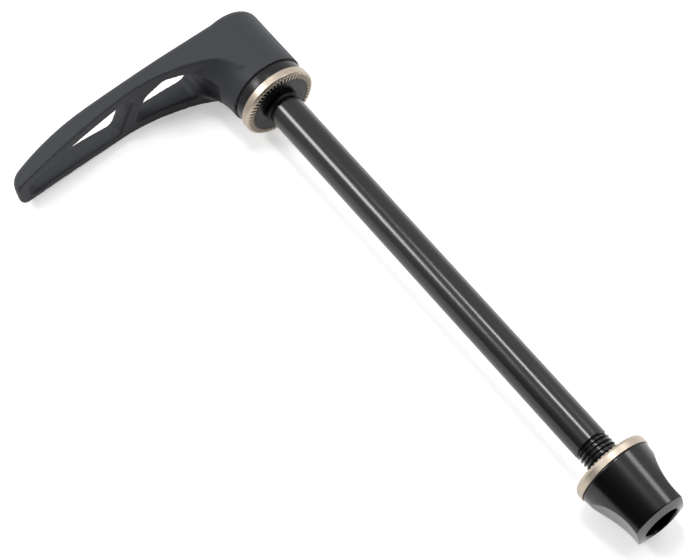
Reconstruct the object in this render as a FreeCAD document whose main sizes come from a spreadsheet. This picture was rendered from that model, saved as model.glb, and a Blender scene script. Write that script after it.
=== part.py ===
"""Threaded wheel skewer with a pull-out ratchet lever.  All sizes in millimetres.

The axle's axis is X.  The origin is on that axis in the lever's clamp face, and +X points to the
nut.  +Z is up.  The skewer lies as it comes to rest: the lever's arm points to -Y and lies on its
side, so the lever is turned a few degrees about the axle.
"""
import FreeCAD, Part
import math
import os
import re
import Sketcher

SIZES = {
    # Axle, from its root at the lever to its threaded end
    "shaft_diameter": 10.0,
    "shaft_length": 131.4,
    "shaft_edge_break": 0.35,
    "relief_diameter": 8.9,
    "relief_length": 0.9,
    "thread_diameter": 9.8,
    "thread_length": 18.6,
    "thread_end_break": 0.8,
    "stub_diameter": 6.0,
    # Splined driver on the axle, and the lever's insert round it
    "driver_diameter": 14.0,
    "driver_length": 4.2,
    "spline_count": 18,
    "spline_depth": 0.8,
    "spline_gap_width": 1.15,
    "insert_diameter": 18.4,
    "insert_setback": 0.1,
    "web_thickness": 1.5,
    # Spring stack on the stub
    "spring_length": 9.9,
    "spring_mean_diameter": 8.6,
    "spring_wire": 0.8,
    "spring_turns": 3.0,
    "plate_diameter": 11.0,
    "plate_thickness": 1.0,
    "screw_diameter": 3.0,
    "screw_length": 7.0,
    "screw_head_diameter": 5.5,
    "screw_head_length": 2.4,
    "screw_socket_width": 2.5,
    "screw_socket_depth": 1.3,
    "screw_end_room": 0.6,
    # Clamp collar and what sits on it
    "collar_diameter": 21.7,
    "collar_width": 3.18,
    "collar_face_setback": 0.12,
    "collar_edge_break": 0.2,
    "thrust_diameter": 13.6,
    "thrust_thickness": 0.6,
    "o_ring_bore": 7.3,
    "o_ring_section": 1.8,
    "o_ring_side_play": 0.15,
    # Serrated rings
    "ring_bore": 18.6,
    "ring_bevel_height": 0.75,
    "ring_crown_diameter": 21.2,
    "ring_tooth_count": 54,
    "ring_tooth_depth": 0.5,
    "ring_tooth_width": 0.7,
    "ring_tooth_margin": 0.15,
    "lever_ring_diameter": 22.7,
    "lever_ring_width": 2.84,
    "nut_ring_diameter": 22.0,
    "nut_ring_width": 2.62,
    # Nut
    "nut_stand_off": 6.64,
    "nut_length": 20.3,
    "nut_base_diameter": 21.4,
    "nut_end_diameter": 18.6,
    "nut_dome_height": 0.9,
    "nut_mouth_diameter": 10.3,
    "nut_mouth_break": 0.25,
    "nut_mouth_depth": 7.0,
    "nut_spigot_setback": 0.2,
    "scallop_radius": 22.0,
    "scallop_floor": 7.2,
    "scallop_from_end": 3.3,
    "nut_turn": 13.0,
    # Lever head
    "head_diameter": 22.7,
    "head_wall": 2.0,
    "head_cavity_diameter": 14.0,
    "back_edge_radius": 2.6,
    "flare_front_depth": 20.47,
    "flare_back_depth": 7.37,
    "flare_rise": 4.6,
    # Lever arm: reaches out from the axle, and depths forward from the back
    "arm_root_width": 22.3,
    "arm_root_inset": 0.15,
    "arm_bow_reach": 45.0,
    "arm_bow": 1.65,
    "arm_tip_turn": 3.6,
    "arm_back_turn_rise": 2.7,
    "arm_tip_reach": 73.2,
    "arm_tip_depth": 8.42,
    "arm_waist_reach": 38.0,
    "arm_waist_depth": 5.52,
    "arm_outer_radius": 420.0,
    "arm_blend_reach": 9.8,
    "arm_blend_depth": 10.42,
    "arm_root_reach": 4.6,
    "arm_root_depth": 17.57,
    "arm_taper_margin": 2.8,
    "arm_taper_width": 7.8,
    "lever_rest_angle": 3.8,
    # Windows in the arm: distances out from the axle, and up or down from the arm's middle
    "outer_window_end": 3.3,
    "outer_window_tip_top": 2.3,
    "outer_window_tip_low": 3.0,
    "outer_window_top_reach": 31.2,
    "outer_window_top": 6.3,
    "outer_window_low_reach": 38.4,
    "outer_window_low": 6.0,
    "inner_window_low_reach": 34.3,
    "inner_window_low": 6.6,
    "inner_window_corner_reach": 28.6,
    "inner_window_corner": 3.0,
    "inner_window_top_reach": 22.4,
    "inner_window_top": 7.0,
    "inner_window_shoulder_reach": 16.2,
    "inner_window_shoulder": 6.0,
    "inner_window_neck_reach": 14.6,
    "inner_window_foot_reach": 15.2,
    "inner_window_ridge_reach": 13.2,
    "root_slot_reach": 10.3,
    "root_slot_half_width": 4.5,
    "root_slot_setback": 0.4,
    "window_corner_radius": 1.7,
    # Clearances
    "running_clearance": 0.04,
    "slide_clearance": 0.05,
    "spline_clearance": 0.1,
    "face_gap": 0.05,
    "head_gap": 0.25,
    "cavity_play": 0.5,
}

# Places along the axle that follow from the sizes, from the clamp face back into the lever
STATIONS = {
    "ring_back": "-lever_ring_width",
    "collar_back": "ring_back - collar_width",
    "head_front": "collar_back - head_gap",
    "thrust_front": "collar_back - face_gap",
    "thrust_back": "thrust_front - thrust_thickness",
    "driver_front": "thrust_back - face_gap",
    "driver_back": "driver_front - driver_length",
    "insert_front": "driver_front - insert_setback",
    "web_front": "driver_back - face_gap",
    "web_back": "web_front - web_thickness",
    "plate_front": "web_back - spring_length",
    "plate_back": "plate_front - plate_thickness",
    "screw_back": "plate_back - screw_head_length",
    "cavity_back": "screw_back - cavity_play",
    "head_rear": "cavity_back - head_wall",
    # The O-ring's groove at the shaft's root
    "groove_end": "o_ring_section + 2 * o_ring_side_play",
    # The lever's arm: its back and the places in front of it
    "arm_back": "head_rear - arm_bow",
    "arm_tip_front": "arm_back + arm_tip_depth",
    "arm_waist_front": "arm_back + arm_waist_depth",
    "arm_blend_front": "head_rear + arm_blend_depth",
    "arm_root_front": "head_rear + arm_root_depth",
    "flare_front": "head_rear + flare_front_depth",
    "flare_back": "head_rear + flare_back_depth",
    # Reaches along the arm that are set from its tip
    "arm_back_turn_reach": "arm_tip_reach - arm_tip_turn",
    "arm_taper_reach": "arm_tip_reach + arm_taper_margin",
    "outer_window_tip": "arm_tip_reach - outer_window_end",
    # The nut's end of the axle
    "clamp_gap": "shaft_length + nut_stand_off",
    "relief_end": "shaft_length + relief_length",
    "thread_end": "relief_end + thread_length",
    "nut_seat": "clamp_gap + nut_ring_width",
    "nut_end": "clamp_gap + nut_length",
    "nut_rim": "nut_end - nut_dome_height",
    "scallop_centre": "nut_end - scallop_from_end",
    "scallop_offset": "scallop_floor + scallop_radius",
}

SHEET_NAME = "sizes"
TURN_X = FreeCAD.Vector(1, 0, 0)
FULL_TURN = 360.0
# The corners of a round section drawn with six flats
SIXTH = FULL_TURN / 6
SECTION_CORNERS = [SIXTH * number for number in range(6)]
# A quarter round in three flats: where their corners lie, in degrees, half of one flat's angle,
# and what the two bevels that make them take off an edge, as shares of the radius
FLAT_CORNERS = (11.25, 33.75, 56.25, 78.75)
HALF_FLAT = 11.25
MIDDLE_FLAT = 2 - math.sqrt(2)
SIDE_FLAT = math.tan(math.radians(2 * HALF_FLAT)) - math.tan(math.radians(HALF_FLAT))
# Marks a corner of an outline where an arc goes on in line with the edge before it
SMOOTH = "smooth"


def bound(expression):
    """The expression with every size and station replaced by cells of the sheet."""

    def cell(match):
        word = match.group(0)
        if word in STATIONS:
            return "(" + bound(STATIONS[word]) + ")"
        if word in SIZES:
            return SHEET_NAME + "." + word
        return word

    return re.sub(r"[a-z][a-z_0-9]*", cell, expression)


def new_document():
    """The document and its sheet of driving dimensions."""
    document = FreeCAD.newDocument("skewer")
    sheet = document.addObject("Spreadsheet::Sheet", SHEET_NAME)
    for row, (alias, value) in enumerate(SIZES.items(), start=1):
        sheet.set(f"A{row}", alias)
        sheet.set(f"B{row}", str(value))
        sheet.setAlias(f"B{row}", alias)
    document.recompute()
    return document


DOC = new_document()


def value_of(expression):
    """What an expression in sizes and stations comes to now."""
    return float(DOC.getObject(SHEET_NAME).evalExpression(bound(expression)))


def bind(thing, **expressions):
    """Bind properties of a document object, named with __ for a dot, to expressions."""
    for name, expression in expressions.items():
        thing.setExpression(name.replace("__", "."), bound(expression))


def new_body(name):
    body = DOC.addObject("PartDesign::Body", name)
    body.Label = name
    return body


def origin_feature(body, role):
    return next(item for item in body.Origin.OriginFeatures if item.Role == role)


def new_sketch(body, name, plane, offset=None):
    """A sketch on one of the body's origin planes, moved along its normal by offset."""
    sketch = body.newObject("Sketcher::SketchObject", name)
    sketch.AttachmentSupport = [(origin_feature(body, plane), "")]
    sketch.MapMode = "FlatFace"
    if offset:
        bind(sketch, AttachmentOffset__Base__z=offset)
    return sketch


def bulge_radius(start, end, heading):
    """Signed radius of the arc from start to end that sets off along heading, left positive."""
    chord = end - start
    left = FreeCAD.Vector(-heading.y, heading.x, 0)
    return chord.dot(chord) / (2 * chord.dot(left))


def arc_centre(start, end, radius):
    """Centre of the short arc from start to end: a positive radius puts it left of the way."""
    chord = end - start
    rise = math.sqrt(radius ** 2 - (chord.Length / 2) ** 2)
    left = FreeCAD.Vector(-chord.y, chord.x, 0).normalize()
    return (start + end) * 0.5 + left * math.copysign(rise, radius)


def add_edge(sketch, start, end, radius=None):
    """Add a line or arc; return its index, its two ends in the order of the way, and its heading."""
    if radius is None:
        index = sketch.addGeometry(Part.LineSegment(start, end))
        return index, (1, 2), (end - start).normalize()
    centre = arc_centre(start, end, radius)
    ends = (start, end) if radius > 0 else (end, start)
    angles = [math.atan2(point.y - centre.y, point.x - centre.x) for point in ends]
    circle = Part.Circle(centre, FreeCAD.Vector(0, 0, 1), abs(radius))
    index = sketch.addGeometry(Part.ArcOfCircle(circle, angles[0], angles[1]))
    spoke = (end - centre).normalize()
    heading = FreeCAD.Vector(-spoke.y, spoke.x, 0) * math.copysign(1, radius)
    return index, (1, 2) if radius > 0 else (2, 1), heading


def draw_outline(sketch, corners):
    """Draw a closed outline of corners (x, y), with the edge from each one to the next.

    The edge is straight, or an arc where the corner has a third entry: SMOOTH for an arc that
    sets off in line with the edge before it, or a radius, negative where the centre lies to the
    right of the way.  x, y and radius are expressions.
    """
    points = [FreeCAD.Vector(value_of(c[0]), value_of(c[1]), 0) for c in corners]
    edges = []
    for number, corner in enumerate(corners):
        start = points[number]
        end = points[(number + 1) % len(points)]
        radius = None
        if SMOOTH in corner:
            radius = bulge_radius(start, end, edges[-1][2])
        elif len(corner) > 2:
            radius = value_of(corner[2])
        edges.append(add_edge(sketch, start, end, radius))
    for number, (index, ends, _) in enumerate(edges):
        after, after_ends, _ = edges[(number + 1) % len(edges)]
        smooth = SMOOTH in corners[(number + 1) % len(edges)]
        kind = "Tangent" if smooth else "Coincident"
        sketch.addConstraint(Sketcher.Constraint(kind, index, ends[1], after, after_ends[0]))
    for corner, point, (index, ends, _) in zip(corners, points, edges):
        pin(sketch, "DistanceX", index, ends[0], point.x, corner[0])
        pin(sketch, "DistanceY", index, ends[0], point.y, corner[1])
        if len(corner) > 2 and SMOOTH not in corner:
            size = corner[2].lstrip("-")
            number = sketch.addConstraint(Sketcher.Constraint("Radius", index, value_of(size)))
            sketch.setExpression(f"Constraints[{number}]", bound(size))


def draw_rounded(sketch, corners, radius):
    """Draw a closed outline of straight edges, with every corner rounded to one radius."""
    points = [FreeCAD.Vector(value_of(x), value_of(y), 0) for x, y in corners]
    size = value_of(radius)
    arcs = []
    for number, point in enumerate(points):
        back = (points[number - 1] - point).normalize()
        onward = (points[(number + 1) % len(points)] - point).normalize()
        reach = size / math.tan(back.getAngle(onward) / 2)
        turn = math.copysign(size, onward.cross(back).z)
        arcs.append((point + back * reach, point + onward * reach, turn))
    arc_edges = [add_edge(sketch, *arc) for arc in arcs]
    following = arcs[1:] + arcs[:1]
    line_edges = [add_edge(sketch, arc[1], after[0]) for arc, after in zip(arcs, following)]
    for number, (index, ends, _) in enumerate(arc_edges):
        before, onward = line_edges[number - 1][0], line_edges[number][0]
        sketch.addConstraint(Sketcher.Constraint("Tangent", before, 2, index, ends[0]))
        sketch.addConstraint(Sketcher.Constraint("Tangent", index, ends[1], onward, 1))
        rule = sketch.addConstraint(Sketcher.Constraint("Radius", index, size))
        sketch.setExpression(f"Constraints[{rule}]", bound(radius))
        corner = sketch.addGeometry(Part.Point(points[number]), True)
        sketch.addConstraint(Sketcher.Constraint("PointOnObject", corner, 1, before))
        sketch.addConstraint(Sketcher.Constraint("PointOnObject", corner, 1, onward))
        pin(sketch, "DistanceX", corner, 1, points[number].x, corners[number][0])
        pin(sketch, "DistanceY", corner, 1, points[number].y, corners[number][1])


def pin(sketch, kind, index, end, now, expression):
    """Hold one end of an edge at a distance from the sketch's origin."""
    number = sketch.addConstraint(Sketcher.Constraint(kind, -1, 1, index, end, now))
    sketch.setExpression(f"Constraints[{number}]", bound(expression))


def draw_circle(sketch, x, y, radius):
    """Draw a full circle about (x, y); all three are expressions."""
    centre = FreeCAD.Vector(value_of(x), value_of(y), 0)
    circle = Part.Circle(centre, FreeCAD.Vector(0, 0, 1), value_of(radius))
    index = sketch.addGeometry(circle)
    pin(sketch, "DistanceX", index, 3, centre.x, x)
    pin(sketch, "DistanceY", index, 3, centre.y, y)
    number = sketch.addConstraint(Sketcher.Constraint("Radius", index, circle.Radius))
    sketch.setExpression(f"Constraints[{number}]", bound(radius))


def turned(body, name, corners, kind="Revolution"):
    """Turn a profile of (x, radius) corners about the axle's axis, or groove it out."""
    sketch = new_sketch(body, name + "_profile", "XY_Plane")
    draw_outline(sketch, corners)
    feature = body.newObject("PartDesign::" + kind, name)
    feature.Profile = sketch
    feature.ReferenceAxis = (sketch, ["H_Axis"])
    feature.Angle = FULL_TURN
    DOC.recompute()
    return feature


def cut(body, name, sketch, depth=None):
    """Cut a drawn sketch into the body to a depth, or right through it both ways."""
    pocket = body.newObject("PartDesign::Pocket", name)
    pocket.Profile = sketch
    if depth:
        bind(pocket, Length=depth)
    else:
        pocket.Type = "ThroughAll"
        pocket.SideType = "Symmetric"
    DOC.recompute()
    return pocket


def cut_through(body, name, plane, corners):
    """Cut an outline on one of the body's planes right through the body."""
    sketch = new_sketch(body, name + "_outline", plane)
    draw_outline(sketch, corners)
    return cut(body, name, sketch)


def around_axle(body, feature, count):
    """Repeat a feature evenly round the axle's axis."""
    pattern = body.newObject("PartDesign::PolarPattern", feature.Name + "_pattern")
    pattern.Originals = [feature]
    pattern.Axis = (origin_feature(body, "X_Axis"), [""])
    pattern.Angle = FULL_TURN
    bind(pattern, Occurrences=count)
    body.Tip = pattern
    DOC.recompute()


def bevelled(body, name, size, wanted):
    """Bevel those edges of the body that the test picks, and those that run on from them."""
    base = body.Tip
    names = [f"Edge{n}" for n, edge in enumerate(base.Shape.Edges, start=1) if wanted(edge)]
    bevel = body.newObject("PartDesign::Chamfer", name)
    bevel.Base = (base, names)
    bind(bevel, Size=size)
    DOC.recompute()
    return bevel


def build_axle():
    """Shaft, thread, root groove, splined driver and spring stub, turned as one piece."""
    body = new_body("axle")
    shaft, thread = "shaft_diameter / 2", "thread_diameter / 2"
    turned(body, "axle_blank", [
        ("plate_front", "screw_diameter / 2"),
        ("plate_front", "stub_diameter / 2"),
        ("driver_back", "stub_diameter / 2"),
        ("driver_back", "driver_diameter / 2"),
        ("driver_front", "driver_diameter / 2"),
        ("driver_front", shaft),
        ("0", shaft),
        ("0", "o_ring_bore / 2"),
        ("groove_end", "o_ring_bore / 2"),
        ("groove_end", shaft + " - shaft_edge_break"),
        ("groove_end + shaft_edge_break", shaft),
        ("shaft_length - shaft_edge_break", shaft),
        ("shaft_length", shaft + " - shaft_edge_break"),
        ("shaft_length", "relief_diameter / 2"),
        ("relief_end", "relief_diameter / 2"),
        ("relief_end", thread),
        ("thread_end - thread_end_break", thread),
        ("thread_end", thread + " - thread_end_break"),
        ("thread_end", "0"),
        ("plate_front + screw_length", "0"),
        ("plate_front + screw_length", "screw_diameter / 2"),
    ])
    gap = cut_through(body, "driver_gap", "YZ_Plane", [
        ("driver_diameter / 2 - spline_depth", "-spline_gap_width / 2"),
        ("driver_diameter / 2 + spline_depth", "-spline_gap_width / 2"),
        ("driver_diameter / 2 + spline_depth", "spline_gap_width / 2"),
        ("driver_diameter / 2 - spline_depth", "spline_gap_width / 2"),
    ])
    around_axle(body, gap, "spline_count")
    return body


def build_spline_insert():
    """Sleeve in the lever's head: inner splines round the driver, web that the spring pushes."""
    body = new_body("spline_insert")
    inner = "(driver_diameter / 2 - spline_depth + spline_clearance)"
    hole = "stub_diameter / 2 + slide_clearance"
    turned(body, "insert_blank", [
        ("insert_front", inner),
        ("insert_front", "insert_diameter / 2"),
        ("web_back", "insert_diameter / 2"),
        ("web_back", hole),
        ("web_front", hole),
        ("web_front", inner),
    ])
    sketch = new_sketch(body, "insert_gap_outline", "YZ_Plane", "insert_front")
    outer = "driver_diameter / 2 + spline_clearance"
    # Half the room that a driver tooth needs, measured at its tip
    half = "(pi * driver_diameter / spline_count - spline_gap_width) / 2 + spline_clearance"
    draw_outline(sketch, [
        (inner + " - spline_depth", "-(" + half + ")"),
        (outer, "-(" + half + ")"),
        (outer, half),
        (inner + " - spline_depth", half),
    ])
    gap = cut(body, "insert_gap", sketch, "insert_front - web_front")
    around_axle(body, gap, "spline_count")
    # The insert's gaps stand where the driver's teeth are, half a tooth on from its gaps
    body.Placement.Rotation = FreeCAD.Rotation(TURN_X, FULL_TURN / 2 / value_of("spline_count"))
    bind(body, Placement__Rotation__Angle="180 / spline_count")
    return body


def build_collar():
    """Collar that stays still against the frame; its spigot carries the serrated ring."""
    body = new_body("clamp_collar")
    bore = "shaft_diameter / 2 + running_clearance"
    rim = "collar_diameter / 2"
    turned(body, "collar_blank", [
        ("collar_back", bore),
        ("collar_back", rim + " - collar_edge_break"),
        ("collar_back + collar_edge_break", rim),
        ("ring_back", rim),
        ("ring_back", "ring_bore / 2"),
        ("-collar_face_setback", "ring_bore / 2"),
        ("-collar_face_setback", bore),
    ])
    return body


def build_ring(name, face, back, diameter):
    """Serrated ring between two stations, its teeth cut into the flat crown of its face."""
    body = new_body(name)
    bevel = f"{face} + ring_bevel_height * ({back} - {face}) / abs({back} - {face})"
    root = f"{face} + ring_tooth_depth * ({back} - {face}) / abs({back} - {face})"
    above = f"{face} - ring_tooth_depth * ({back} - {face}) / abs({back} - {face})"
    turned(body, name + "_blank", [
        (face, "ring_bore / 2"),
        (face, "ring_crown_diameter / 2"),
        (bevel, diameter + " / 2"),
        (back, diameter + " / 2"),
        (back, "ring_bore / 2"),
    ])
    sketch = new_sketch(body, name + "_notch_outline", "XZ_Plane", "ring_tooth_depth - ring_bore / 2")
    draw_outline(sketch, [
        (root, "0"),
        (above, "ring_tooth_width"),
        (above, "-ring_tooth_width"),
    ])
    depth = "(ring_crown_diameter - ring_bore) / 2 + ring_tooth_depth - ring_tooth_margin"
    around_axle(body, cut(body, name + "_notch", sketch, depth), "ring_tooth_count")
    return body


def build_nut():
    """Tapered nut with a domed end, an open mouth past its thread and two finger scallops."""
    body = new_body("nut")
    bore = "thread_diameter / 2 + slide_clearance"
    turned(body, "nut_blank", [
        ("clamp_gap + nut_spigot_setback", bore),
        ("clamp_gap + nut_spigot_setback", "ring_bore / 2"),
        ("nut_seat", "ring_bore / 2"),
        ("nut_seat", "nut_base_diameter / 2"),
        ("nut_rim", "nut_end_diameter / 2"),
        ("nut_end", "nut_mouth_diameter / 2 + nut_mouth_break"),
        ("nut_end - nut_mouth_break", "nut_mouth_diameter / 2"),
        ("nut_end - nut_mouth_depth", "nut_mouth_diameter / 2"),
        ("nut_end - nut_mouth_depth", bore),
    ])
    for side, name in (("", "scallop_front"), ("-", "scallop_rear")):
        sketch = new_sketch(body, name + "_outline", "XY_Plane")
        draw_circle(sketch, "scallop_centre", side + "(scallop_offset)", "scallop_radius")
        cut(body, name, sketch)
    body.Placement.Rotation = FreeCAD.Rotation(TURN_X, value_of("nut_turn"))
    bind(body, Placement__Rotation__Angle="nut_turn")
    return body


def middle_of(edge):
    return edge.valueAt((edge.FirstParameter + edge.LastParameter) / 2)


def is_back_edge(edge):
    """True for the long edges of the arm's back; the tip's edges run on from them."""
    middle = middle_of(edge)
    behind = middle.x < value_of("(arm_back + arm_waist_front) / 2")
    return behind and abs(middle.z) > 1 and edge.Length > value_of("arm_root_width / 2")


def build_lever():
    """One forging: barrel head, curved tapering arm, two windows with a diagonal rib, bore."""
    body = new_body("lever")
    head = "head_diameter / 2"
    # The arm seen from above: back, tip, inner face and the blend up to the head
    side = new_sketch(body, "arm_side_profile", "XY_Plane")
    draw_outline(side, [
        ("head_rear + arm_root_inset", "0"),
        ("arm_back", "-arm_bow_reach", SMOOTH),
        ("arm_back + arm_back_turn_rise", "-arm_back_turn_reach", SMOOTH),
        ("arm_tip_front", "-arm_tip_reach", "-arm_outer_radius"),
        ("arm_waist_front", "-arm_waist_reach", SMOOTH),
        ("arm_blend_front", "-arm_blend_reach", SMOOTH),
        ("arm_root_front", "-arm_root_reach"),
        ("arm_root_front", "0"),
    ])
    arm = body.newObject("PartDesign::Pad", "arm")
    arm.Profile = side
    arm.SideType = "Symmetric"
    bind(arm, Length="arm_root_width")
    DOC.recompute()
    # Half a flare round the barrel, which leads over into the arm's inner face
    flare = turned(body, "head_flare", [
        ("head_front", "0"),
        ("head_front", f"-({head})"),
        ("flare_front", f"-({head})", SMOOTH),
        ("flare_back", f"-({head} + flare_rise)"),
        ("flare_back", "0"),
    ])
    flare.Angle = FULL_TURN / 2
    flare.Midplane = True
    # Both long sides, trimmed to the arm's tapering outline
    for sign, name in (("", "top_side"), ("-", "low_side")):
        cut_through(body, name, "YZ_Plane", [
            (head, f"{sign}(arm_root_width / 2)"),
            ("0", f"{sign}(arm_root_width / 2)", SMOOTH),
            ("-arm_taper_reach", f"{sign}(arm_taper_width / 2)"),
            ("-arm_taper_reach", f"{sign}arm_root_width"),
            (head, f"{sign}arm_root_width"),
        ])
    # The back's round edges in three flats, all touching the same round
    bevelled(body, "arm_back_edges", f"back_edge_radius * {MIDDLE_FLAT}", is_back_edge)
    bevelled(body, "arm_back_breaks", f"back_edge_radius * {SIDE_FLAT}", is_back_edge)
    round_corners = [(
        f"head_rear + back_edge_radius * (1 - cos({angle}) / cos({HALF_FLAT}))",
        f"{head} - back_edge_radius * (1 - sin({angle}) / cos({HALF_FLAT}))",
    ) for angle in FLAT_CORNERS]
    turned(body, "barrel", [
        ("head_front", "0"),
        ("head_rear", "0"),
        *round_corners,
        ("head_front", head),
    ])
    outer = new_sketch(body, "outer_window_outline", "YZ_Plane")
    draw_rounded(outer, [
        ("-outer_window_tip", "outer_window_tip_top"),
        ("-outer_window_top_reach", "outer_window_top"),
        ("-outer_window_low_reach", "-outer_window_low"),
        ("-outer_window_tip", "-outer_window_tip_low"),
    ], "window_corner_radius")
    cut(body, "outer_window", outer)
    # The inner window starts behind the insert's web, so the barrel in front of it stays whole
    inner = new_sketch(body, "inner_window_outline", "YZ_Plane", "web_back - root_slot_setback")
    draw_rounded(inner, [
        ("-inner_window_low_reach", "-inner_window_low"),
        ("-inner_window_corner_reach", "inner_window_corner"),
        ("-inner_window_top_reach", "inner_window_top"),
        ("-inner_window_shoulder_reach", "inner_window_shoulder"),
        ("-inner_window_neck_reach", "root_slot_half_width"),
        ("-root_slot_reach", "root_slot_half_width"),
        ("-root_slot_reach", "-root_slot_half_width"),
        ("-inner_window_ridge_reach", "-root_slot_half_width"),
        ("-inner_window_foot_reach", "-inner_window_low"),
    ], "window_corner_radius")
    cut(body, "inner_window", inner, "web_back - head_rear + arm_bow")
    turned(body, "head_bore", [
        ("head_front", "0"),
        ("head_front", "insert_diameter / 2"),
        ("web_back", "insert_diameter / 2"),
        ("web_back", "head_cavity_diameter / 2"),
        ("cavity_back", "head_cavity_diameter / 2"),
        ("cavity_back", "0"),
    ], "Groove")
    body.Placement.Rotation = FreeCAD.Rotation(TURN_X, value_of("lever_rest_angle"))
    bind(body, Placement__Rotation__Angle="lever_rest_angle")
    return body


def build_thrust_washer():
    """Plain washer between the collar and the driver."""
    body = new_body("thrust_washer")
    hole = "shaft_diameter / 2 + slide_clearance"
    turned(body, "thrust_blank", [
        ("thrust_back", hole),
        ("thrust_back", "thrust_diameter / 2"),
        ("thrust_front", "thrust_diameter / 2"),
        ("thrust_front", hole),
    ])
    return body


def build_spring_plate():
    """Plate on the stub's end that the return spring pushes against."""
    body = new_body("spring_washer_plate")
    hole = "screw_diameter / 2 + slide_clearance"
    turned(body, "plate_blank", [
        ("plate_back", hole),
        ("plate_back", "plate_diameter / 2"),
        ("plate_front", "plate_diameter / 2"),
        ("plate_front", hole),
    ])
    return body


def build_screw():
    """Socket screw in the stub's end that holds the plate."""
    body = new_body("retaining_screw")
    tip = "plate_front + screw_length - screw_end_room"
    turned(body, "screw_blank", [
        ("screw_back", "0"),
        ("screw_back", "screw_head_diameter / 2"),
        ("plate_back", "screw_head_diameter / 2"),
        ("plate_back", "screw_diameter / 2"),
        (tip, "screw_diameter / 2"),
        (tip, "0"),
    ])
    flat, corner = "screw_socket_width / 2", "screw_socket_width / sqrt(3)"
    sketch = new_sketch(body, "socket_outline", "YZ_Plane", "screw_back + screw_socket_depth")
    draw_outline(sketch, [
        (flat, corner + " / 2"),
        ("0", corner),
        ("-" + flat, corner + " / 2"),
        ("-" + flat, "-" + corner + " / 2"),
        ("0", "-" + corner),
        (flat, "-" + corner + " / 2"),
    ])
    cut(body, "socket", sketch, "screw_socket_depth")
    return body


def build_o_ring():
    """Rubber ring in the groove at the shaft's root, its round section in six flats."""
    body = new_body("retaining_o_ring")
    turned(body, "o_ring_blank", [(
        f"groove_end / 2 + o_ring_section / 2 * cos({angle}) / cos({SIXTH / 2})",
        f"(o_ring_bore + o_ring_section) / 2 + o_ring_section / 2 * sin({angle}) / cos({SIXTH / 2})",
    ) for angle in SECTION_CORNERS])
    return body


def build_spring():
    """Coil spring of square wire between the insert's web and the plate."""
    body = new_body("return_spring")
    inner = "(spring_mean_diameter - spring_wire) / 2"
    outer = "(spring_mean_diameter + spring_wire) / 2"
    sketch = new_sketch(body, "wire_section", "XY_Plane")
    draw_outline(sketch, [
        ("plate_front + face_gap", inner),
        ("plate_front + face_gap", outer),
        ("plate_front + face_gap + spring_wire", outer),
        ("plate_front + face_gap + spring_wire", inner),
    ])
    coil = body.newObject("PartDesign::AdditiveHelix", "coil")
    coil.Profile = sketch
    coil.ReferenceAxis = (sketch, ["H_Axis"])
    coil.Mode = "height-turns-angle"
    bind(coil, Height="spring_length - spring_wire - 2 * face_gap", Turns="spring_turns")
    DOC.recompute()
    return body


SUB_PARTS = [
    build_axle(),
    build_spline_insert(),
    build_collar(),
    build_ring("lever_side_ring", "0", "ring_back", "lever_ring_diameter"),
    build_ring("nut_side_ring", "clamp_gap", "nut_seat", "nut_ring_diameter"),
    build_nut(),
    build_lever(),
    build_thrust_washer(),
    build_spring_plate(),
    build_screw(),
    build_o_ring(),
    build_spring(),
]
DOC.recompute()

for item in DOC.Objects:
    if "Invalid" in item.State or "Error" in item.State:
        raise RuntimeError(f"{item.Name} did not build: {item.State}")
for part in SUB_PARTS:
    if part.Shape.isNull() or not part.Shape.isValid():
        raise RuntimeError(f"{part.Label} has no valid shape")
os.makedirs("parts", exist_ok=True)
for part in SUB_PARTS:
    part.Shape.exportStep(f"parts/{part.Label}.step")
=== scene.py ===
"""Looks of a threaded wheel skewer with a pull-out ratchet lever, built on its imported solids.

Lengths are in metres.  The axle's axis is X: the origin is in the lever's clamp face and +X points
to the nut.  +Z is up from the floor that the skewer lies on.
"""

import math

import bmesh
import bpy
from bpy.props import FloatProperty, FloatVectorProperty, IntProperty, PointerProperty
from mathutils import Euler, Matrix, Vector


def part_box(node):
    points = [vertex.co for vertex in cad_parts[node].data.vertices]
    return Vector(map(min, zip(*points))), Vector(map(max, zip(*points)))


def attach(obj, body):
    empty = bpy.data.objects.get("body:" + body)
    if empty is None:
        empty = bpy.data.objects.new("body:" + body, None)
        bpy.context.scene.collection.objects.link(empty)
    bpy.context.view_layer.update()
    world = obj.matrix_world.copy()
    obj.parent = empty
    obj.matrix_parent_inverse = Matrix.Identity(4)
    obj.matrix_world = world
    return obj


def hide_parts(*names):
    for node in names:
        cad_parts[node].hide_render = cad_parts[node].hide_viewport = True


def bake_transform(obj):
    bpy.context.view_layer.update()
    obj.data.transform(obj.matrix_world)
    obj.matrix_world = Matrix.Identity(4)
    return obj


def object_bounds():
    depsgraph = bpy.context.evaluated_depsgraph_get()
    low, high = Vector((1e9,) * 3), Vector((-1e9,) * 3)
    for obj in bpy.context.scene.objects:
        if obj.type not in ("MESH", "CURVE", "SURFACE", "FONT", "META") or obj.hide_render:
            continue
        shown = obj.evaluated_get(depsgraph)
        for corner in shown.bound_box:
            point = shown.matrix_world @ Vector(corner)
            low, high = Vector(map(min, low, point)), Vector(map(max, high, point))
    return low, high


bl_info = {
    "name": "Threaded wheel skewer",
    "version": (1, 0, 0),
    "blender": (4, 5, 0),
    "location": "3D View > Sidebar > Skewer",
    "description": "Builds the lever, clamp rings, shaft, nut and studio of a threaded wheel skewer",
    "category": "Object",
}

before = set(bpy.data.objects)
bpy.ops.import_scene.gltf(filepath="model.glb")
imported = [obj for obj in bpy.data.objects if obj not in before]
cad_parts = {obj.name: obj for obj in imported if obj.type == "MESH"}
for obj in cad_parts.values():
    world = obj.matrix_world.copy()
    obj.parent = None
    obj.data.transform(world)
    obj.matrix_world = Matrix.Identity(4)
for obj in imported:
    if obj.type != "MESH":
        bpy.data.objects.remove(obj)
CAD_BOX = [list(corner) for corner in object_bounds()]

MM = 0.001
FULL_TURN = 2 * math.pi

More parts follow.
